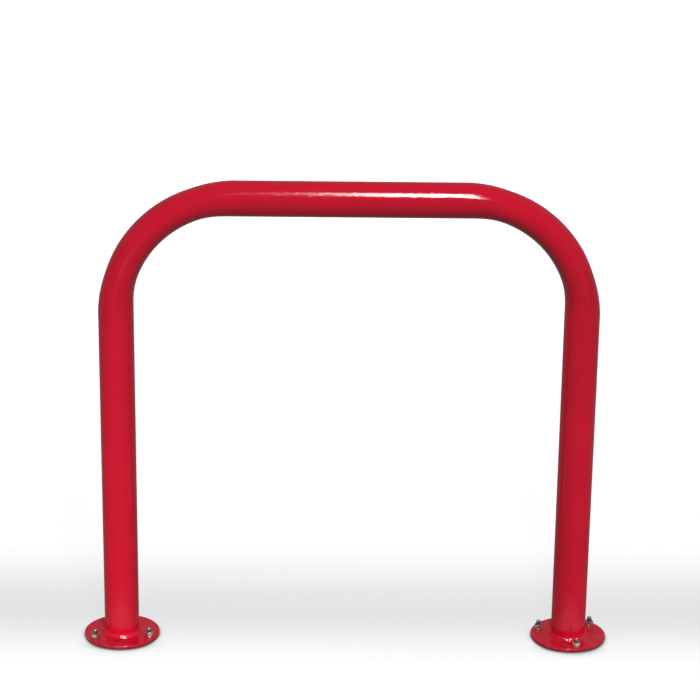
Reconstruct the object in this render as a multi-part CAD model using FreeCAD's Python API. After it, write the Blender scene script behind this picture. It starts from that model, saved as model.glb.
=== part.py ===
import FreeCAD, Part
import math
import os

from FreeCAD import Matrix, Vector

# A hoop bike rack, in millimetres. +X runs along the hoop, +Y points away from
# its front and +Z points up. The origin is on the ground, midway between the legs.

# Hoop: one pipe with two bends and a flat top
PIPE_DIAMETER = 60.3
PIPE_WALL = 3.9
LEG_SPACING = 790.0
HOOP_HEIGHT = 828.0
BEND_RADIUS = 197.0
# A bent pipe goes oval: narrower in the plane of the bend, wider across it
BEND_WIDTH_IN_PLANE = 54.0
BEND_WIDTH_ACROSS = 64.0
# The pipe goes from round to oval over this angle at each end of a bend
OVAL_RUN_DEG = 18.0
# The bend is a surface through outlines this far apart. It takes in a short
# straight stretch at each end, so that it runs into the pipe without a crease.
OUTLINE_STEP_DEG = 9.0
BEND_LEAD = 10.0

# Base flanges, and the fillet weld round each pipe foot
FLANGE_THICKNESS = 6.35
FLANGE_EDGE_CHAMFER = 1.0
WELD_LEG = 6.5

# Anchor pattern: room for a wrench from the pipe's side to each anchor's axis,
# then metal from there to the rim. Directions are those of each flange's first
# anchor seen from above, counted from +X.
ANCHOR_ROOM = 23.85
FLANGE_MARGIN = 12.0
ANCHORS_PER_FLANGE = 3
LEFT_FIRST_ANCHOR_DEG = 95.0
RIGHT_FIRST_ANCHOR_DEG = -80.0
HOLE_CLEARANCE = 0.75

# Anchor stud: thread, plain shank, neck, expansion cone and the land below it
THREAD_DIAMETER = 8.0
THREAD_LENGTH = 30.0
SHANK_DIAMETER = 7.1
STUD_LENGTH = 75.0
STUD_END_CHAMFER = 1.0
STUD_ABOVE_NUT = 7.0
NECK_DIAMETER = 5.7
NECK_LENGTH = 11.0
CONE_LENGTH = 9.0
CONE_LAND = 2.5

# Expansion clip: a sheet collar round the neck. Tightening the nut has drawn
# the cone up into it, and that has spread its fingers in the drilled hole.
CLIP_SHEET = 0.85
CLIP_CLEARANCE = 0.05
CLIP_END_GAP = 0.8
CONE_PULL = 3.2
CLIP_FINGERS = 3
CLIP_SEAM = 1.4
CLIP_SLOT = 1.0
CLIP_UNSLOTTED_BAND = 5.0

# Washer and hexagon nut
WASHER_DIAMETER = 16.0
WASHER_THICKNESS = 1.6
WASHER_CLEARANCE = 0.2
NUT_ACROSS_FLATS = 13.0
NUT_HEIGHT = 6.8
NUT_CHAMFER_DEG = 30.0
THREAD_CLEARANCE = 0.05
# A tightened nut stops at any angle, so each one is turned a step from the last
NUT_TURN_STEP_DEG = 23.0

# How far a cutting shape runs past what it cuts
CUT_MARGIN = 1.0

# Places worked out from the sizes above
PIPE_RADIUS = PIPE_DIAMETER / 2
LEG_X = LEG_SPACING / 2
TOP_AXIS_Z = HOOP_HEIGHT - PIPE_RADIUS
BEND_START_Z = TOP_AXIS_Z - BEND_RADIUS
BEND_END_X = LEG_X - BEND_RADIUS
ANCHOR_RADIUS = PIPE_RADIUS + ANCHOR_ROOM
FLANGE_RADIUS = ANCHOR_RADIUS + FLANGE_MARGIN
THREAD_RADIUS = THREAD_DIAMETER / 2
NECK_RADIUS = NECK_DIAMETER / 2
NUT_BOTTOM_Z = FLANGE_THICKNESS + WASHER_THICKNESS
NUT_TOP_Z = NUT_BOTTOM_Z + NUT_HEIGHT
STUD_TOP_Z = NUT_TOP_Z + STUD_ABOVE_NUT
STUD_BOTTOM_Z = STUD_TOP_Z - STUD_LENGTH
CONE_BOTTOM_Z = STUD_BOTTOM_Z + CONE_LAND
CONE_TOP_Z = CONE_BOTTOM_Z + CONE_LENGTH
NECK_TOP_Z = CONE_TOP_Z + NECK_LENGTH

ALONG = Vector(1, 0, 0)
ACROSS = Vector(0, 1, 0)
UP = Vector(0, 0, 1)


def polygon_face(points):
    """A flat face in the XZ plane from (radius, height) corners."""
    corners = [Vector(r, 0, z) for r, z in points]
    return Part.Face(Part.makePolygon(corners + corners[:1]))


def turned(face):
    """The solid that a face in the XZ plane sweeps in one turn about the Z axis."""
    return face.revolve(Vector(), UP, 360)


def rod(radius, bottom, top):
    return Part.makeCylinder(radius, top - bottom, Vector(0, 0, bottom))


def mirrored(shape):
    """The same shape on the other leg's side."""
    return shape.mirror(Vector(), ALONG)


def oval(centre, direction, in_plane, across):
    """The pipe's outline at one place: an ellipse square to its direction."""
    a, b = direction.cross(ACROSS) * (in_plane / 2), ACROSS * (across / 2)
    place = Matrix(
        *(a.x, b.x, direction.x, centre.x),
        *(a.y, b.y, direction.y, centre.y),
        *(a.z, b.z, direction.z, centre.z),
    )
    return Part.Wire(Part.makeCircle(1).transformGeometry(place))


def bend(wall_inset):
    """The right bend as a solid, from its foot to the flat top."""
    steps = max(4, round(90 / OUTLINE_STEP_DEG))
    outlines = []
    for step in range(-1, steps + 2):
        lead = BEND_LEAD * ((step > steps) - (step < 0))
        degrees = 90 * min(max(step, 0), steps) / steps
        share = min(1, degrees / OVAL_RUN_DEG, (90 - degrees) / OVAL_RUN_DEG)
        share = share * share * (3 - 2 * share)
        in_plane = PIPE_DIAMETER + share * (BEND_WIDTH_IN_PLANE - PIPE_DIAMETER)
        across = PIPE_DIAMETER + share * (BEND_WIDTH_ACROSS - PIPE_DIAMETER)
        outward = Vector(math.cos(math.radians(degrees)), 0, math.sin(math.radians(degrees)))
        direction = outward.cross(ACROSS)
        centre = Vector(BEND_END_X, 0, BEND_START_Z) + outward * BEND_RADIUS + direction * lead
        outlines.append(oval(centre, direction, in_plane - 2 * wall_inset, across - 2 * wall_inset))
    return Part.makeLoft(outlines, True)


def filled_hoop(wall_inset):
    """The whole pipe filled in, out to its outside or, with an inset, to its bore."""
    radius = PIPE_RADIUS - wall_inset
    leg_top = BEND_START_Z - BEND_LEAD
    leg = rod(radius, FLANGE_THICKNESS, leg_top).translated(ALONG * LEG_X)
    half_top = BEND_END_X - BEND_LEAD
    top = Part.makeCylinder(radius, 2 * half_top, Vector(-half_top, 0, TOP_AXIS_Z), ALONG)
    corner = bend(wall_inset)
    return top.multiFuse([corner, leg, mirrored(corner), mirrored(leg)])


def hoop_tube():
    return filled_hoop(0).cut(filled_hoop(PIPE_WALL))


def anchor_places(leg_x, first_deg):
    """Where the axis of each of one flange's anchors meets the ground."""
    places = []
    for k in range(ANCHORS_PER_FLANGE):
        a = math.radians(first_deg + 360 * k / ANCHORS_PER_FLANGE)
        places.append(Vector(leg_x, 0, 0) + Vector(math.cos(a), math.sin(a), 0) * ANCHOR_RADIUS)
    return places


def base_flange(leg_x, anchors):
    """A round plate with its top edge chamfered, and one hole for each anchor."""
    rim, top, edge = FLANGE_RADIUS, FLANGE_THICKNESS, FLANGE_EDGE_CHAMFER
    outline = [(0, 0), (rim, 0), (rim, top - edge), (rim - edge, top), (0, top)]
    plate = turned(polygon_face(outline)).translated(ALONG * leg_x)
    hole = rod(THREAD_RADIUS + HOLE_CLEARANCE, -CUT_MARGIN, top + CUT_MARGIN)
    return plate.cut([hole.translated(place) for place in anchors])


def weld_bead(leg_x):
    """A fillet weld in the corner of pipe and flange."""
    corner = (PIPE_RADIUS, FLANGE_THICKNESS)
    lower_toe = (PIPE_RADIUS + WELD_LEG, FLANGE_THICKNESS)
    upper_toe = (PIPE_RADIUS, FLANGE_THICKNESS + WELD_LEG)
    return turned(polygon_face([corner, lower_toe, upper_toe])).translated(ALONG * leg_x)


def anchor_stud():
    thread_end = STUD_TOP_Z - THREAD_LENGTH
    outline = [
        (0, STUD_TOP_Z),
        (THREAD_RADIUS - STUD_END_CHAMFER, STUD_TOP_Z),
        (THREAD_RADIUS, STUD_TOP_Z - STUD_END_CHAMFER),
        (THREAD_RADIUS, thread_end),
        (SHANK_DIAMETER / 2, thread_end),
        (SHANK_DIAMETER / 2, NECK_TOP_Z),
        (NECK_RADIUS, NECK_TOP_Z),
        (NECK_RADIUS, CONE_TOP_Z),
        (THREAD_RADIUS, CONE_BOTTOM_Z),
        (THREAD_RADIUS, STUD_BOTTOM_Z),
        (0, STUD_BOTTOM_Z),
    ]
    return turned(polygon_face(outline))


def expansion_clip():
    """A collar that follows the neck and the cone, open at one seam and slotted from below."""
    inner = NECK_RADIUS + CLIP_CLEARANCE
    outer = inner + CLIP_SHEET
    spread = CONE_PULL * (THREAD_RADIUS - NECK_RADIUS) / CONE_LENGTH
    bottom, top = CONE_TOP_Z - CONE_PULL, NECK_TOP_Z - CLIP_END_GAP
    outline = [
        (inner, top),
        (outer, top),
        (outer, CONE_TOP_Z),
        (outer + spread, bottom),
        (inner + spread, bottom),
        (inner, CONE_TOP_Z),
    ]
    collar = turned(polygon_face(outline))
    reach = outer + spread + CUT_MARGIN
    low = bottom - CUT_MARGIN

    def gap(width, end):
        return Part.makeBox(reach, width, end - low, Vector(0, -width / 2, low))

    slot = gap(CLIP_SLOT, top - CLIP_UNSLOTTED_BAND)
    gaps = [gap(CLIP_SEAM, top + CUT_MARGIN)]
    gaps += [slot.rotated(Vector(), UP, 360 * k / CLIP_FINGERS) for k in range(1, CLIP_FINGERS)]
    return collar.cut(gaps)


def washer():
    outer, inner = WASHER_DIAMETER / 2, THREAD_RADIUS + WASHER_CLEARANCE
    bore = rod(inner, FLANGE_THICKNESS - CUT_MARGIN, NUT_BOTTOM_Z + CUT_MARGIN)
    return rod(outer, FLANGE_THICKNESS, NUT_BOTTOM_Z).cut(bore)


def hex_nut():
    """A hexagon prism whose corners are turned away at both ends."""
    flat = NUT_ACROSS_FLATS / 2
    corner = flat / math.cos(math.radians(30))
    drop = (corner - flat) * math.tan(math.radians(NUT_CHAMFER_DEG))
    turns = [math.radians(60 * k) for k in range(7)]
    hexagon = [Vector(math.cos(a), math.sin(a), 0) * corner + UP * NUT_BOTTOM_Z for a in turns]
    prism = Part.Face(Part.makePolygon(hexagon)).extrude(UP * NUT_HEIGHT)
    outline = [
        (0, NUT_BOTTOM_Z),
        (flat, NUT_BOTTOM_Z),
        (corner, NUT_BOTTOM_Z + drop),
        (corner, NUT_TOP_Z - drop),
        (flat, NUT_TOP_Z),
        (0, NUT_TOP_Z),
    ]
    bore = rod(THREAD_RADIUS + THREAD_CLEARANCE, NUT_BOTTOM_Z - CUT_MARGIN, NUT_TOP_Z + CUT_MARGIN)
    return prism.common(turned(polygon_face(outline))).cut(bore)


def rack():
    """Every piece by name, in its place."""
    pieces = {"hoop_tube": hoop_tube()}
    stud, clip, ring, nut = anchor_stud(), expansion_clip(), washer(), hex_nut()
    sides = (("left", -LEG_X, LEFT_FIRST_ANCHOR_DEG), ("right", LEG_X, RIGHT_FIRST_ANCHOR_DEG))
    for side, leg_x, first_deg in sides:
        anchors = anchor_places(leg_x, first_deg)
        pieces[f"{side}_base_flange"] = base_flange(leg_x, anchors)
        pieces[f"{side}_weld_bead"] = weld_bead(leg_x)
        for number, place in enumerate(anchors, 1):
            turn = NUT_TURN_STEP_DEG * number
            pieces[f"{side}_anchor_stud_{number}"] = stud.translated(place)
            pieces[f"{side}_expansion_clip_{number}"] = clip.rotated(Vector(), UP, turn).translated(place)
            pieces[f"{side}_washer_{number}"] = ring.translated(place)
            pieces[f"{side}_nut_{number}"] = nut.rotated(Vector(), UP, turn).translated(place)
    return pieces


os.makedirs("parts", exist_ok=True)
for name, shape in rack().items():
    shape.exportStep(os.path.join("parts", name + ".step"))
    print(f"{name}: {len(shape.Solids)} solid, {shape.Volume / 1000:.2f} cm3, valid {shape.isValid()}")
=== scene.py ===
import math

import bmesh
import bpy
from mathutils import Matrix, Vector


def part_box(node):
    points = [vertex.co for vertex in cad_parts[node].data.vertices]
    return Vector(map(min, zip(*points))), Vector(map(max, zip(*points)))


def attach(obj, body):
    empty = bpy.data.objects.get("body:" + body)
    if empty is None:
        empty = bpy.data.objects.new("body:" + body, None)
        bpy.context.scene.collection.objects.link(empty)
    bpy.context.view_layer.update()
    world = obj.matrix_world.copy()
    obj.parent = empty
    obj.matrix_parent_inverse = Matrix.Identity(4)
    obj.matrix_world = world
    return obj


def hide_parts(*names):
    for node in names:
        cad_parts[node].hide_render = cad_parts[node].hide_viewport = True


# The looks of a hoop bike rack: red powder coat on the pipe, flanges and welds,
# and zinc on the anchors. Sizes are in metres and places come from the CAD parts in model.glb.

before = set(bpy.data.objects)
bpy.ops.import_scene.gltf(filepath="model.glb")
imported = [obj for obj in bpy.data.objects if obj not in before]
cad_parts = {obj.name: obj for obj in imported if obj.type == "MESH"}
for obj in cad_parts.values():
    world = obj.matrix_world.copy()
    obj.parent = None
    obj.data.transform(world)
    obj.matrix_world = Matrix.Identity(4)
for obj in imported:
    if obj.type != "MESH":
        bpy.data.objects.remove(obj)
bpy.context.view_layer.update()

BODY = "root"
SIDES = ("left", "right")
ANCHOR_NUMBERS = (1, 2, 3)
# Points closer together than this are one point
MERGE_DISTANCE = 1e-7
PLATE_MERGE_DISTANCE = 1e-6

# The range that most of a noise lies in
NOISE_RANGE = (0.3, 0.7)

# Powder coat. Noise scales are per metre. A pair called noise, smears or height is the
# range over which a mark comes in, and one called roughness is what it runs between.
RED = (0.59, 0.0036, 0.0235)
RED_SHADES = (0.95, 1.04)
RED_PATCH_SCALE = 7.0
PAINT_SPECULAR = 0.43
SMEAR_SCALE = 45.0
PAINT_ROUGHNESS_SMEARS = (0.35, 0.75)
PAINT_ROUGHNESS = (0.085, 0.115)
# Fine scratches along the top, where frames and locks rub
SCRATCH_SCALE = 1500.0
SCRATCH_STRETCH = (0.06, 1.0, 1.0)
SCRATCH_NOISE = (0.66, 0.74)
SCRATCH_SMEARS = (0.48, 0.62)
SCRATCH_HEIGHT = (0.74, 0.79)
SCRATCH_COLOUR = (0.66, 0.06, 0.07, 1.0)
SCRATCH_SHARE = 0.35
SCRATCH_ROUGHNESS = 0.15
SCRATCH_DEPTH_SHARE = 0.3
# Dust on the flange, and a dark band of painted shade along the lowest few millimetres of paint, at the
# paving
DUST_HEIGHT = (0.012, 0.005)
DUST_SMEARS = (0.45, 0.75)
DUST_SHARE = 0.14
DUST_COLOUR = (0.36, 0.22, 0.17, 1.0)
DUST_ROUGHNESS = 1.2
FOOT_SHADE_HEIGHT = (0.0042, 0.0008)
FOOT_SHADE_UNEVENNESS = 0.0008
FOOT_SHADE_SHARE = 0.7
FOOT_SHADE_COLOUR = (0.06, 0.012, 0.012, 1.0)
# The paint's orange-peel skin, of fine waves and broader ones
PEEL_SCALES = (520.0, 170.0)
PEEL_BROAD_SHARE = 1.6
PEEL_STRENGTH = 0.5
PEEL_HEIGHT = 0.0002

# Zinc plate, with a faint yellow and blue sheen
ZINC_TONE_SCALE = 260.0
ZINC_TONE_NOISE = (0.35, 0.65)
ZINC_SPANGLE_SCALE = 1400.0
ZINC_YELLOW = (0.84, 0.82, 0.76, 1.0)
ZINC_BLUE = (0.75, 0.78, 0.82, 1.0)
ZINC_BURNISHED = (0.92, 0.91, 0.89, 1.0)
# Grime and painted shade for the hollows, and the range of shares that noise gives it
ZINC_GRIME_AND_SHADE = (0.035, 0.03, 0.027, 1.0)
ZINC_GRIME_AND_SHADE_SHARES = (0.65, 0.95)
ZINC_ROUGHNESS = (0.18, 0.3)
BURNISHED_NOISE = (0.35, 0.6)
BURNISHED_SHARES = (0.5, 1.0)
BURNISHED_SMOOTHNESS = 0.08
GRIME_ROUGHNESS = 0.25
SPANGLE_STRENGTH = 0.25
SPANGLE_HEIGHT = 0.00004

# Steel of the expansion clips, with a grain drawn out along the sheet
CLIP_STEEL = (0.50, 0.50, 0.49)
CLIP_SHADES = (0.85, 1.1)
CLIP_GRAIN_SCALE = 700.0
CLIP_GRAIN_STRETCH = (1.0, 1.0, 12.0)
CLIP_ROUGHNESS = (0.28, 0.42)

# Stud: its thread as cut on the upper part, its tip, and the shank, neck and cone below
STUD_AROUND = 48
STUD_SHARP_DEG = 25.0
THREAD_PITCH = 0.00125
THREAD_DEPTH = 0.00077
THREAD_CREST_SHARE = 0.2
THREAD_ROOT_SHARE = 0.25
THREAD_SLOPE_SHARE = (1 - THREAD_CREST_SHARE - THREAD_ROOT_SHARE) / 2
THREAD_LENGTH = 0.030
# Grime and painted shade on the thread: this share at the crests, rising to full at the roots
THREAD_GRIME_AND_SHADE = 0.4
STUD_END_ROUND = 0.001
STUD_END_STEPS = 8
STUD_TIP_STEP = 0.0003
SHANK_RADIUS = 0.00355
NECK_RADIUS = 0.00285
NECK_TOP_Z = -0.03075
CONE_TOP_Z = -0.04175
CONE_BOTTOM_Z = -0.05075

# Nut: a hexagon whose corners are cut by a cone, with its bore countersunk
HEXAGON_FLAT_SHARE = math.cos(math.radians(30))
NUT_CORNER_ROUND = 0.0004
NUT_SIDE_STEPS = 6
NUT_FACE_SHARE = 0.97
NUT_CHAMFER_SLOPE = math.tan(math.radians(30))
NUT_EDGE_ROUND = 0.00028
NUT_BORE_GAP = 0.00005
COUNTERSINK = 0.0007

# Washer
WASHER_AROUND = 72
WASHER_BORE_GAP = 0.0002
WASHER_EDGE_ROUND = 0.0003
# Grime and painted shade on the washer's faces
WASHER_GRIME_AND_SHADE = 0.75

FLANGE_EDGE_ROUND = 0.00065

# Weld bead: ripples as a welder's hand leaves them
BEAD_RIPPLES = 52
BEAD_STEPS_PER_RIPPLE = 8
BEAD_STEPS_ACROSS = 10
BEAD_SHARP_DEG = 60.0
BEAD_RIPPLE_HEIGHT = 0.00023
BEAD_CROWN = 0.0002
# The bead's width on the flange, as a share of its height on the pipe
BEAD_SLIMNESS = 0.82
# How far along the bead a ripple's middle lags, and where its crest is, in ripples
BEAD_RIPPLE_CURVE = 0.55
BEAD_RIPPLE_CREST = 0.35
# Ripples grow and shrink along the bead by this share, in waves that run at a slant
BEAD_UNEVENNESS = 0.6
BEAD_UNEVEN_WAVES = 17
BEAD_UNEVEN_SLANT = 4
# The bead's edges wander by this much, in two sets of waves: share, count and start
BEAD_TOE_WANDER = 0.0005
BEAD_TOE_WAVES = ((0.6, 5, 1.3), (0.36, 13, 0.0))
# How far the bead's upper edge sinks into the pipe, so that no gap shows
BEAD_BITE = 0.0003
# Where the welder started each bead
BEAD_START_DEG = {"left": 12.0, "right": 2.5}

WHITE = (1.0, 1.0, 1.0, 1.0)


class Nodes:
    """A short way to add nodes to a material or world and to link them."""

    def __init__(self, owner):
        owner.use_nodes = True
        self.tree = owner.node_tree
        self.tree.nodes.clear()

    def add(self, kind, settings=None, **inputs):
        node = self.tree.nodes.new(kind)
        for key, value in (settings or {}).items():
            setattr(node, key, value)
        for key, value in inputs.items():
            self.put(node, key.replace("_", " "), value)
        return node

    def put(self, node, socket_name, value):
        """Sets or links one input, named by its label or its number."""
        socket = node.inputs[socket_name]
        if isinstance(value, bpy.types.NodeSocket):
            self.tree.links.new(value, socket)
        else:
            socket.default_value = value

    def place(self):
        return self.add("ShaderNodeTexCoord").outputs["Object"]

    def axes(self, vector):
        return self.add("ShaderNodeSeparateXYZ", Vector=vector).outputs

    def stretched(self, vector, scale):
        return self.add("ShaderNodeMapping", Vector=vector, Scale=scale).outputs[0]

    def length(self, vector):
        node = self.add("ShaderNodeVectorMath", {"operation": "LENGTH"})
        self.put(node, 0, vector)
        return node.outputs["Value"]

    def attribute(self, name):
        return self.add("ShaderNodeAttribute", {"attribute_name": name}).outputs["Fac"]

    def math(self, operation, a, b=0.0, clamp=False):
        node = self.add("ShaderNodeMath", {"operation": operation, "use_clamp": clamp})
        self.put(node, 0, a)
        self.put(node, 1, b)
        return node.outputs[0]

    def noise(self, vector, scale, detail=2.0):
        node = self.add("ShaderNodeTexNoise", Vector=vector, Scale=scale, Detail=detail)
        return node.outputs["Fac"]

    def fit(self, value, low, high, to_low=0.0, to_high=1.0, kind="LINEAR"):
        """value rescaled from low..high to to_low..to_high, and clamped there."""
        node = self.add("ShaderNodeMapRange", {"interpolation_type": kind})
        for index, number in enumerate((value, low, high, to_low, to_high)):
            self.put(node, index, number)
        return node.outputs[0]

    def mix(self, share, a, b):
        node = self.add("ShaderNodeMix", {"data_type": "RGBA"})
        self.put(node, 0, share)
        self.put(node, 6, a)
        self.put(node, 7, b)
        return node.outputs[2]

    def bump(self, height, strength, distance):
        node = self.add("ShaderNodeBump", Strength=strength, Distance=distance, Height=height)
        return node.outputs[0]

    def surface(self, shader, kind="ShaderNodeOutputMaterial"):
        self.add(kind, Surface=shader.outputs[0])


def shaded(colour, share):
    return (*(c * share for c in colour), 1.0)


def powder_coat():
    """Glossy paint with an orange-peel skin, handling marks on top, dust low down and painted shade at
    the paving.
    """
    material = bpy.data.materials.new("powder_coat")
    n = Nodes(material)
    place = n.place()
    height = n.axes(place)["Z"]
    patches = n.noise(place, RED_PATCH_SCALE, detail=3.0)
    smears = n.noise(place, SMEAR_SCALE, detail=4.0)
    darker, brighter = (shaded(RED, share) for share in RED_SHADES)
    colour = n.mix(n.fit(patches, *NOISE_RANGE), darker, brighter)

    lines = n.noise(n.stretched(place, SCRATCH_STRETCH), SCRATCH_SCALE)
    rubbed = n.math("MULTIPLY", n.fit(smears, *SCRATCH_SMEARS), n.fit(height, *SCRATCH_HEIGHT))
    scratches = n.math("MULTIPLY", n.fit(lines, *SCRATCH_NOISE), rubbed)
    colour = n.mix(n.math("MULTIPLY", scratches, SCRATCH_SHARE), colour, SCRATCH_COLOUR)

    dust = n.fit(smears, *DUST_SMEARS, 0.0, DUST_SHARE)
    dust = n.math("MULTIPLY", n.fit(height, *DUST_HEIGHT), dust)
    colour = n.mix(dust, colour, DUST_COLOUR)
    # Painted shade: the paint darkens in a band just above the paving, with an uneven top edge
    waves = n.fit(smears, *NOISE_RANGE, -FOOT_SHADE_UNEVENNESS, FOOT_SHADE_UNEVENNESS)
    foot_shade = n.fit(n.math("ADD", height, waves), *FOOT_SHADE_HEIGHT, 0.0, FOOT_SHADE_SHARE)
    colour = n.mix(foot_shade, colour, FOOT_SHADE_COLOUR)

    rough = n.fit(smears, *PAINT_ROUGHNESS_SMEARS, *PAINT_ROUGHNESS)
    rough = n.math("ADD", rough, n.math("MULTIPLY", scratches, SCRATCH_ROUGHNESS))
    rough = n.math("ADD", rough, n.math("MULTIPLY", dust, DUST_ROUGHNESS))

    fine, broad = (n.noise(place, scale, detail=1.0) for scale in PEEL_SCALES)
    peel = n.math("ADD", fine, n.math("MULTIPLY", broad, PEEL_BROAD_SHARE))
    skin = n.math("SUBTRACT", peel, n.math("MULTIPLY", scratches, SCRATCH_DEPTH_SHARE))
    normal = n.bump(skin, PEEL_STRENGTH, PEEL_HEIGHT)
    shader = n.add("ShaderNodeBsdfPrincipled", Base_Color=colour, Roughness=rough, Normal=normal)
    n.put(shader, "Specular IOR Level", PAINT_SPECULAR)
    n.surface(shader)
    return material


def zinc_plate():
    """Zinc with uneven tones, grime and painted shade in its hollows, and burnished edges."""
    material = bpy.data.materials.new("zinc_plate")
    n = Nodes(material)
    place = n.place()
    tone = n.noise(place, ZINC_TONE_SCALE, detail=3.0)
    spangle = n.noise(place, ZINC_SPANGLE_SCALE)
    patchy = n.fit(spangle, *BURNISHED_NOISE, *BURNISHED_SHARES)
    worn = n.math("MULTIPLY", n.attribute("worn"), patchy)
    uneven = n.fit(tone, *NOISE_RANGE, *ZINC_GRIME_AND_SHADE_SHARES)
    # Grime and painted shade darken the hollows, unevenly
    grime_and_shade = n.math("MULTIPLY", n.attribute("hollow"), uneven)
    colour = n.mix(n.fit(tone, *ZINC_TONE_NOISE), ZINC_YELLOW, ZINC_BLUE)
    colour = n.mix(worn, colour, ZINC_BURNISHED)
    colour = n.mix(grime_and_shade, colour, ZINC_GRIME_AND_SHADE)
    rough = n.fit(spangle, *NOISE_RANGE, *ZINC_ROUGHNESS)
    rough = n.math("SUBTRACT", rough, n.math("MULTIPLY", worn, BURNISHED_SMOOTHNESS))
    rough = n.math("ADD", rough, n.math("MULTIPLY", grime_and_shade, GRIME_ROUGHNESS))
    normal = n.bump(spangle, SPANGLE_STRENGTH, SPANGLE_HEIGHT)
    shader = n.add("ShaderNodeBsdfPrincipled", Base_Color=colour, Metallic=1.0, Normal=normal)
    n.put(shader, "Roughness", rough)
    n.surface(shader)
    return material


def clip_steel():
    """Stamped sheet steel with a drawn grain."""
    material = bpy.data.materials.new("clip_steel")
    n = Nodes(material)
    grain = n.noise(n.stretched(n.place(), CLIP_GRAIN_STRETCH), CLIP_GRAIN_SCALE, detail=3.0)
    darker, brighter = (shaded(CLIP_STEEL, share) for share in CLIP_SHADES)
    colour = n.mix(n.fit(grain, *NOISE_RANGE), darker, brighter)
    rough = n.fit(grain, *NOISE_RANGE, *CLIP_ROUGHNESS)
    n.surface(n.add("ShaderNodeBsdfPrincipled", Base_Color=colour, Metallic=1.0, Roughness=rough))
    return material


PAINT, ZINC_PLATE, CLIP = powder_coat(), zinc_plate(), clip_steel()


def piece(name, material, slot, points, faces, sharp_deg=35.0, **shares):
    """A piece from points and faces, with smooth faces and crisp edges.

    Each share, such as hollow or worn, has one number for each point.
    """
    mesh = bpy.data.meshes.new(name)
    mesh.from_pydata([tuple(p) for p in points], [], faces)
    for share, values in shares.items():
        mesh.attributes.new(share, "FLOAT", "POINT").data.foreach_set("value", values)
    work = bmesh.new()
    work.from_mesh(mesh)
    bmesh.ops.remove_doubles(work, verts=work.verts, dist=MERGE_DISTANCE)
    bmesh.ops.recalc_face_normals(work, faces=work.faces)
    work.to_mesh(mesh)
    work.free()
    mesh.shade_smooth()
    mesh.set_sharp_from_angle(angle=math.radians(sharp_deg))
    mesh.materials.append(material)
    made = bpy.data.objects.new(name, mesh)
    bpy.context.scene.collection.objects.link(made)
    return made


def place_piece(made, centre, node, turn=0.0):
    """Stands a piece in for a node, on its axis and turned about it."""
    made.matrix_world = Matrix.Translation(centre) @ Matrix.Rotation(turn, 4, "Z")
    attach(made, BODY)
    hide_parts(node)


def round_edges(made, width, segments, from_deg):
    """Small round edges, where faces meet at more than from_deg."""
    edges = made.modifiers.new("edges", "BEVEL")
    edges.width = width
    edges.segments = segments
    edges.limit_method = "ANGLE"
    edges.angle_limit = math.radians(from_deg)
    edges.harden_normals = True


def ring_faces(ring_count, around, closed):
    """Quads between rings of points, with the last ring joined to the first if closed."""
    faces = []
    for ring in range(ring_count if closed else ring_count - 1):
        here = ring * around
        there = (ring + 1) % ring_count * around
        for k in range(around):
            after = (k + 1) % around
            faces.append((here + k, here + after, there + after, there + k))
    return faces


def rounded(corners, radius, steps=4):
    """A closed outline with each corner cut back by radius and curved."""
    outline = []
    for before, corner, after in zip(corners[-1:] + corners[:-1], corners, corners[1:] + corners[:1]):
        start = corner + (before - corner).normalized() * radius
        end = corner + (after - corner).normalized() * radius
        for step in range(steps + 1):
            t = step / steps
            outline.append(start * (1 - t) ** 2 + corner * 2 * t * (1 - t) + end * t * t)
    return outline


def half_width(node):
    """A round node's radius, or half its size along X."""
    low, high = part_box(node)
    return (high.x - low.x) / 2


def axis_of(node):
    """Where a round node's upright axis meets the paving."""
    low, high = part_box(node)
    return Vector(((low.x + high.x) / 2, (low.y + high.y) / 2, 0.0))


def washer_piece(side, number):
    node = f"{side}_washer_{number}"
    stud = f"{side}_anchor_stud_{number}"
    low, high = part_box(node)
    outer = half_width(node)
    inner = half_width(stud) + WASHER_BORE_GAP
    corners = [Vector(c) for c in ((inner, low.z), (outer, low.z), (outer, high.z), (inner, high.z))]
    outline = rounded(corners, WASHER_EDGE_ROUND)
    turns = [2 * math.pi * k / WASHER_AROUND for k in range(WASHER_AROUND)]
    points = [(p.x * math.cos(a), p.x * math.sin(a), p.y) for p in outline for a in turns]
    # The rim gets half the grime and painted shade of the faces
    rim = outer - 2 * WASHER_EDGE_ROUND
    grime_and_shade = [WASHER_GRIME_AND_SHADE if p.x < rim else WASHER_GRIME_AND_SHADE / 2 for p in outline]
    hollows = [share for share in grime_and_shade for _ in turns]
    faces = ring_faces(len(outline), WASHER_AROUND, True)
    name = node.replace("washer", "zinc_washer")
    made = piece(name, ZINC_PLATE, "zinc_plate", points, faces, hollow=hollows)
    place_piece(made, axis_of(stud), node)


def hexagon_of(node):
    """The distance from a nut's axis to its corners, and how far the nut is turned."""
    low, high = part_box(node)
    centre = (low + high) / 2
    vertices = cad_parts[node].data.vertices
    seen_from_above = [Vector((v.co.x - centre.x, v.co.y - centre.y)) for v in vertices]
    corner = max(seen_from_above, key=lambda p: p.length)
    return corner.length, math.atan2(corner.y, corner.x)


def hexagon_outline(reach):
    """Points round a hexagon with small curved corners, which would reach this far if sharp."""
    angles = [math.radians(60 * k) for k in range(6)]
    curved = rounded([Vector((math.cos(a), math.sin(a))) * reach for a in angles], NUT_CORNER_ROUND)
    outline = []
    for start, end in zip(curved, curved[1:] + curved[:1]):
        steps = NUT_SIDE_STEPS if (end - start).length > 2 * NUT_CORNER_ROUND else 1
        outline += [start.lerp(end, step / steps) for step in range(steps)]
    return outline


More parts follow.
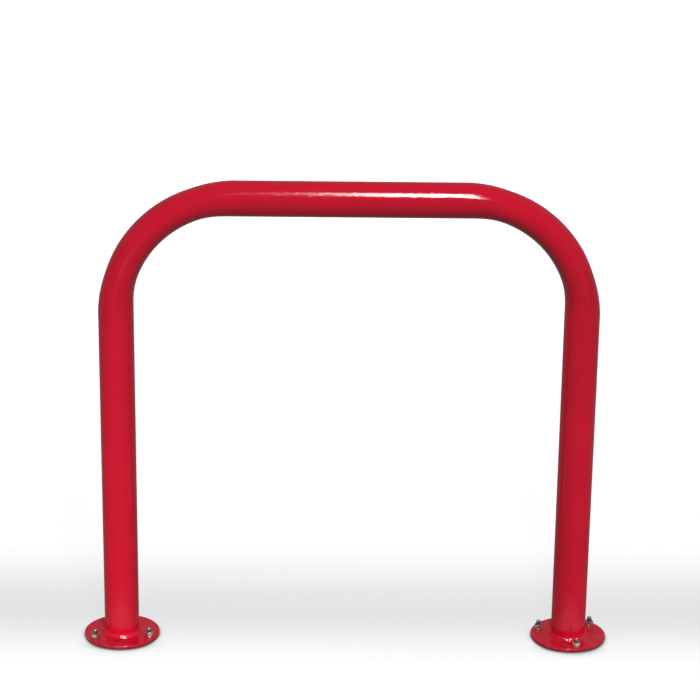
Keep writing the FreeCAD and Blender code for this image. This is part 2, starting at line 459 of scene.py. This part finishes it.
def nut_piece(side, number):
    node = f"{side}_nut_{number}"
    stud = f"{side}_anchor_stud_{number}"
    low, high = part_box(node)
    reach, turn = hexagon_of(node)
    flat = reach * HEXAGON_FLAT_SHARE
    face_ring = flat * NUT_FACE_SHARE
    bore = half_width(stud) + NUT_BORE_GAP
    outline = hexagon_outline(reach)
    drop = [max(0.0, p.length - face_ring) * NUT_CHAMFER_SLOPE for p in outline]

    def circle(radius, z):
        return [(p.x / p.length * radius, p.y / p.length * radius, z) for p in outline]

    # Each ring of points, with its shares of grime and painted shade, and of wear
    rings = [
        (circle(bore, low.z + COUNTERSINK), 1.0, 0.0),
        (circle(bore + COUNTERSINK, low.z), 0.6, 0.0),
        (circle(face_ring, low.z), 0.5, 0.0),
        ([(p.x, p.y, low.z + d) for p, d in zip(outline, drop)], 0.0, 0.6),
        ([(p.x, p.y, high.z - d) for p, d in zip(outline, drop)], 0.0, 1.0),
        (circle(face_ring, high.z), 0.0, 0.4),
        (circle(bore + COUNTERSINK, high.z), 0.5, 0.0),
        (circle(bore, high.z - COUNTERSINK), 1.0, 0.0),
    ]
    # Wear is at the corners, and fades towards the middle of each flat
    corner_share = [max(0.0, (p.length - flat) / (reach - flat)) ** 2 for p in outline]
    points = [p for ring, _, _ in rings for p in ring]
    hollows = [grime_and_shade for ring, grime_and_shade, _ in rings for _ in ring]
    worn = [wear * share for _, _, wear in rings for share in corner_share]
    faces = ring_faces(len(rings), len(outline), True)
    name = node.replace("nut", "zinc_nut")
    made = piece(name, ZINC_PLATE, "zinc_plate", points, faces, hollow=hollows, worn=worn)
    round_edges(made, NUT_EDGE_ROUND, segments=2, from_deg=30.0)
    place_piece(made, axis_of(stud), node, turn)


def thread_radius(phase, crest):
    """Radius of a thread at a share of its pitch: crest, slope, root, slope."""
    phase %= 1.0
    down = (phase - THREAD_CREST_SHARE) / THREAD_SLOPE_SHARE
    up = (1.0 - phase) / THREAD_SLOPE_SHARE
    return crest - THREAD_DEPTH * min(max(min(down, up), 0.0), 1.0)


def stud_piece(side, number):
    """A stud with its real thread: rows of points climb round it, four to a pitch."""
    node = f"{side}_anchor_stud_{number}"
    low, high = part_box(node)
    crest = half_width(node)
    thread_end, thread_top = high.z - THREAD_LENGTH, high.z - STUD_END_ROUND
    marks = [0.0, THREAD_CREST_SHARE, THREAD_CREST_SHARE + THREAD_SLOPE_SHARE, 1 - THREAD_SLOPE_SHARE]
    rows = (math.ceil(THREAD_LENGTH / THREAD_PITCH) + 2) * len(marks)
    points, faces, hollows = [], [], []

    def add_point(turn, radius, z, hollow):
        angle = 2 * math.pi * turn
        points.append((radius * math.cos(angle), radius * math.sin(angle), z))
        hollows.append(hollow)

    for row in range(rows):
        for k in range(STUD_AROUND):
            turn = k / STUD_AROUND
            pitches = row // len(marks) + marks[row % len(marks)] + turn
            z = min(max(thread_end + THREAD_PITCH * (pitches - 1), thread_end), thread_top)
            radius = thread_radius((z - thread_end) / THREAD_PITCH + 1 - turn, crest)
            # Grime and painted shade grow towards the thread's roots
            depth_share = (crest - radius) / THREAD_DEPTH
            add_point(turn, radius, z, THREAD_GRIME_AND_SHADE + (1 - THREAD_GRIME_AND_SHADE) * depth_share)
    for row in range(rows - 1):
        for k in range(STUD_AROUND):
            climb = len(marks) if k == STUD_AROUND - 1 else 0
            if row + 1 + climb < rows:
                here = row * STUD_AROUND + k
                there = (row + climb) * STUD_AROUND + (k + 1) % STUD_AROUND
                faces.append((here, there, there + STUD_AROUND, here + STUD_AROUND))

    # The plain shank, the neck and the cone below the thread. None stands for its outline.
    lower = [
        (None, thread_end),
        (SHANK_RADIUS, thread_end),
        (SHANK_RADIUS, NECK_TOP_Z),
        (NECK_RADIUS, NECK_TOP_Z),
        (NECK_RADIUS, CONE_TOP_Z),
        (crest, CONE_BOTTOM_Z),
        (crest, low.z),
    ]
    # The tip, rounded and left bright by the hammer that drove the stud in
    tip = crest - STUD_TIP_STEP
    steps = [math.radians(90 * k / STUD_END_STEPS) for k in range(STUD_END_STEPS + 1)]
    upper = [
        (tip + STUD_END_ROUND * (math.cos(a) - 1), thread_top + STUD_END_ROUND * math.sin(a))
        for a in steps
    ]
    for stack in (lower, upper):
        first = len(points)
        for radius, z in stack:
            for k in range(STUD_AROUND):
                turn = k / STUD_AROUND
                add_point(turn, radius or thread_radius(1 - turn, crest), z, 0.0)
        stack_faces = ring_faces(len(stack), STUD_AROUND, False)
        faces += [tuple(first + index for index in face) for face in stack_faces]
        last = first + (len(stack) - 1) * STUD_AROUND
        faces.append(tuple(last + k for k in range(STUD_AROUND)))
    # A flat ledge joins the thread's last turn to the tip
    last_row, tip_row = (rows - 1) * STUD_AROUND, first
    for k in range(STUD_AROUND):
        after = (k + 1) % STUD_AROUND
        faces.append((last_row + k, last_row + after, tip_row + after, tip_row + k))
    worn = [1.0 if index >= tip_row else 0.0 for index in range(len(points))]
    name = node.replace("stud", "zinc_stud")
    made = piece(
        name, ZINC_PLATE, "zinc_plate", points, faces, STUD_SHARP_DEG, hollow=hollows, worn=worn
    )
    place_piece(made, axis_of(node), node)


def weld_piece(side):
    """A fillet weld of overlapping ripples, each curved the way the bead was laid."""
    node = f"{side}_weld_bead"
    low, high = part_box(node)
    leg = high.z - low.z
    pipe = half_width(node) - leg
    around = BEAD_RIPPLES * BEAD_STEPS_PER_RIPPLE
    points = []
    for step in range(BEAD_STEPS_ACROSS + 1):
        share = step / BEAD_STEPS_ACROSS
        swell = math.sin(math.pi * share)
        for k in range(around):
            angle = 2 * math.pi * k / around
            ripples = BEAD_RIPPLES * k / around + BEAD_RIPPLE_CURVE * swell
            from_crest = (ripples - BEAD_RIPPLE_CREST + 0.5) % 1.0 - 0.5
            ripple = 1 - (2 * from_crest) ** 2
            slanted = BEAD_UNEVEN_WAVES * angle + BEAD_UNEVEN_SLANT * share
            ripple *= 1 + BEAD_UNEVENNESS * math.sin(slanted)
            wander = sum(
                part * math.sin(count * angle + start) for part, count, start in BEAD_TOE_WAVES
            )
            reach = leg - BEAD_TOE_WANDER * (1 - wander)
            lift = swell * (BEAD_CROWN + BEAD_RIPPLE_HEIGHT * ripple) * math.sqrt(0.5)
            radius = pipe + BEAD_SLIMNESS * reach * (1 - share) - BEAD_BITE * share + lift
            up = max(reach * share + lift, 0.0)
            points.append((radius * math.cos(angle), radius * math.sin(angle), low.z + up))
    # The bead's hidden corner, between the pipe and the flange
    for k in range(around):
        angle = 2 * math.pi * k / around
        points.append((pipe * math.cos(angle), pipe * math.sin(angle), low.z))
    faces = ring_faces(BEAD_STEPS_ACROSS + 2, around, True)
    made = piece(node + "_rippled", PAINT, "powder_coat", points, faces, BEAD_SHARP_DEG)
    place_piece(made, axis_of(node), node, math.radians(BEAD_START_DEG[side]))


def finish_of(node):
    """The material of a CAD node, by what its name says it is."""
    if "clip" in node:
        return CLIP
    if "anchor" in node or "washer" in node or "nut" in node:
        return ZINC_PLATE
    return PAINT


for node_name, node_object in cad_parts.items():
    for material_slot in node_object.material_slots:
        material_slot.material = finish_of(node_name)

for side_name in SIDES:
    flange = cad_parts[f"{side_name}_base_flange"]
    joined = flange.modifiers.new("joined", "WELD")
    joined.merge_threshold = PLATE_MERGE_DISTANCE
    round_edges(flange, FLANGE_EDGE_ROUND, segments=3, from_deg=25.0)
    weld_piece(side_name)
    for anchor_number in ANCHOR_NUMBERS:
        stud_piece(side_name, anchor_number)
        nut_piece(side_name, anchor_number)
        washer_piece(side_name, anchor_number)


# The stage: floor, world, lamps and camera

FLOOR_HALF = 14.0
FLOOR_GREY = 0.08
FLOOR_GRAIN_SCALE = 60.0
FLOOR_GRAIN = (0.99, 1.01)
# Glow that lifts the floor to white, near the rack and far from it
FLOOR_LIFT = (0.948, 1.0)
FLOOR_LIFT_DISTANCE = (0.8, 5.0)
# A band of soft shade on the floor, darkest just behind the rack. Its ends fade in
# between two distances from the middle.
BAND_MIDDLE_Y = 0.10
BAND_FRONT = 0.25
BAND_BACK = 0.34
BAND_HALF_X = (1.6, 0.9)
BAND_DEPTH = 0.235
# Shade on the floor close to what stands on it. It fades between two shares of
# open sky, and reaches farther in front of the flanges than beside them.
CONTACT_REACH = 0.03
CONTACT_SAMPLES = 12
CONTACT_SHADE = 0.15
CONTACT_SKY_BESIDE = (0.35, 0.88)
CONTACT_SKY_IN_FRONT = (0.74, 0.985)
CONTACT_TURNS_Y = (-0.02, -0.055)
# The world's strength as light and in reflections, and the floor's in reflections.
# A patch in front of each foot is brighter there: its middle, and where it fades.
WORLD_LIGHT = 0.295
WORLD_MIRRORED = 0.2
FLOOR_MIRRORED = 0.17
FLOOR_MIRRORED_AT_FEET = 0.6
FEET_PATCH_MIDDLE = (0.395, -0.10)
FEET_PATCH_FADE = (0.06, 0.15)


def by_ray(n, seen, mirrored, otherwise):
    """One value on rays from the camera, one on reflected or clear rays, one on the rest."""
    path = n.add("ShaderNodeLightPath").outputs
    mirror_rays = n.math("ADD", path["Is Glossy Ray"], path["Is Transmission Ray"], clamp=True)
    mirror_part = n.math("MULTIPLY", mirror_rays, n.math("SUBTRACT", mirrored, otherwise))
    seen_part = n.math("MULTIPLY", path["Is Camera Ray"], seen - otherwise)
    return n.math("ADD", n.math("ADD", seen_part, mirror_part), otherwise)


def floor_material():
    """A grey floor lifted to white by its own glow, with a band of shade and contact shade."""
    material = bpy.data.materials.new("floor")
    n = Nodes(material)
    place = n.place()
    axes = n.axes(place)
    from_middle_x = n.math("ABSOLUTE", axes["X"])
    behind = n.math("SUBTRACT", axes["Y"], BAND_MIDDLE_Y)
    front = n.fit(behind, -BAND_FRONT, 0.0, kind="SMOOTHSTEP")
    back = n.fit(behind, BAND_BACK, 0.0, kind="SMOOTHSTEP")
    sides = n.fit(from_middle_x, *BAND_HALF_X, kind="SMOOTHSTEP")
    band = n.math("MULTIPLY", n.math("MULTIPLY", front, back), sides)
    grain = n.fit(n.noise(place, FLOOR_GRAIN_SCALE, detail=4.0), 0.0, 1.0, *FLOOR_GRAIN)
    tone = n.math("MULTIPLY", n.fit(band, 0.0, 1.0, 1.0, 1.0 - BAND_DEPTH), grain)

    contact = n.add("ShaderNodeAmbientOcclusion", {"samples": CONTACT_SAMPLES}, Distance=CONTACT_REACH)
    fades = [
        n.fit(axes["Y"], *CONTACT_TURNS_Y, beside, in_front)
        for beside, in_front in zip(CONTACT_SKY_BESIDE, CONTACT_SKY_IN_FRONT)
    ]
    tone = n.math("MULTIPLY", tone, n.fit(contact.outputs["AO"], *fades, CONTACT_SHADE, 1.0))
    matt = n.add("ShaderNodeBsdfDiffuse", Color=n.math("MULTIPLY", tone, FLOOR_GREY))

    sideways = n.math("SUBTRACT", from_middle_x, FEET_PATCH_MIDDLE[0])
    forward = n.math("SUBTRACT", axes["Y"], FEET_PATCH_MIDDLE[1])
    from_foot = n.length(n.add("ShaderNodeCombineXYZ", X=sideways, Y=forward).outputs[0])
    mirrored = n.fit(from_foot, *FEET_PATCH_FADE, FLOOR_MIRRORED_AT_FEET, FLOOR_MIRRORED)
    lift = n.fit(n.length(place), *FLOOR_LIFT_DISTANCE, *FLOOR_LIFT)
    lift = n.math("MULTIPLY", lift, by_ray(n, 1.0, mirrored, 0.0))
    glow = n.add("ShaderNodeEmission", Color=WHITE, Strength=n.math("MULTIPLY", lift, tone))
    both = n.add("ShaderNodeAddShader")
    n.put(both, 0, matt.outputs[0])
    n.put(both, 1, glow.outputs[0])
    n.surface(both)
    return material


def make_floor():
    mesh = bpy.data.meshes.new("floor")
    h = FLOOR_HALF
    mesh.from_pydata([(-h, -h, 0), (h, -h, 0), (h, h, 0), (-h, h, 0)], [], [(0, 1, 2, 3)])
    mesh.materials.append(floor_material())
    floor = bpy.data.objects.new("floor", mesh)
    bpy.context.scene.collection.objects.link(floor)


def make_world():
    world = bpy.data.worlds.new("studio")
    bpy.context.scene.world = world
    n = Nodes(world)
    strength = by_ray(n, 1.0, WORLD_MIRRORED, WORLD_LIGHT)
    sky = n.add("ShaderNodeBackground", Color=WHITE, Strength=strength)
    n.surface(sky, "ShaderNodeOutputWorld")


# Name, place, aim, size, watts, spread in degrees, and whether reflections show it
LAMPS = (
    ("key", (0.353, -2.86, 3.61), (0.0, -0.2, 0.0), (0.295, 1.5), 113.0, 180.0, True),
    ("key_edge", (-0.14, -2.78, 3.62), (-0.1, 0.0, 0.8), (0.5, 0.3), 1.2, 180.0, True),
    ("left_fill", (-1.0, -1.8, 0.3), (-0.5, 0.0, 0.1), (0.7, 0.5), 2.2, 60.0, False),
    ("right_fill", (2.2, -1.8, 0.3), (0.66, 0.0, 0.0), (1.0, 0.6), 1.9, 50.0, False),
    ("back_softbox", (0.0, 3.4, 0.7), (0.0, 0.0, 0.4), (1.4, 1.0), 55.0, 180.0, False),
)


def make_lamp(name, place, aim, size, power, spread_deg, mirrored):
    """A softbox. A grid narrows the spread of some, and some leave no mirror image."""
    data = bpy.data.lights.new(name, "AREA")
    data.spread = math.radians(spread_deg)
    data.shape = "RECTANGLE"
    data.size, data.size_y = size
    data.energy = power
    made = bpy.data.objects.new(name, data)
    made.location = place
    made.rotation_euler = (Vector(aim) - Vector(place)).to_track_quat("-Z", "Y").to_euler()
    made.visible_camera = False
    made.visible_glossy = mirrored
    bpy.context.scene.collection.objects.link(made)


# The camera stands where the photograph was taken from. Its angles are in radians.
CAMERA_PLACE = Vector((-0.0565088, -3.8406247, 1.8273207))
CAMERA_YAW = 0.0152
CAMERA_PITCH = 0.325
CAMERA_ROLL = 0.013
CAMERA_LENS_MM = 122.42
CAMERA_SENSOR_MM = 36.0
CAMERA_SEES = (0.05, 100.0)


def make_camera():
    data = bpy.data.cameras.new("camera")
    data.lens = CAMERA_LENS_MM
    data.sensor_width = CAMERA_SENSOR_MM
    data.clip_start, data.clip_end = CAMERA_SEES
    camera = bpy.data.objects.new("camera", data)
    yaw, pitch, roll = CAMERA_YAW, CAMERA_PITCH, CAMERA_ROLL
    ahead = Vector((math.sin(yaw) * math.cos(pitch), math.cos(yaw) * math.cos(pitch), -math.sin(pitch)))
    level = Vector((math.cos(yaw), -math.sin(yaw), 0.0))
    upright = level.cross(ahead)
    right = level * math.cos(roll) + upright * math.sin(roll)
    up = upright * math.cos(roll) - level * math.sin(roll)
    turned = Matrix((right, up, -ahead)).transposed().to_4x4()
    camera.matrix_world = Matrix.Translation(CAMERA_PLACE) @ turned
    bpy.context.scene.collection.objects.link(camera)
    bpy.context.scene.camera = camera


make_floor()
make_world()
for lamp_row in LAMPS:
    make_lamp(*lamp_row)
make_camera()
bpy.context.scene.view_settings.view_transform = "Standard"
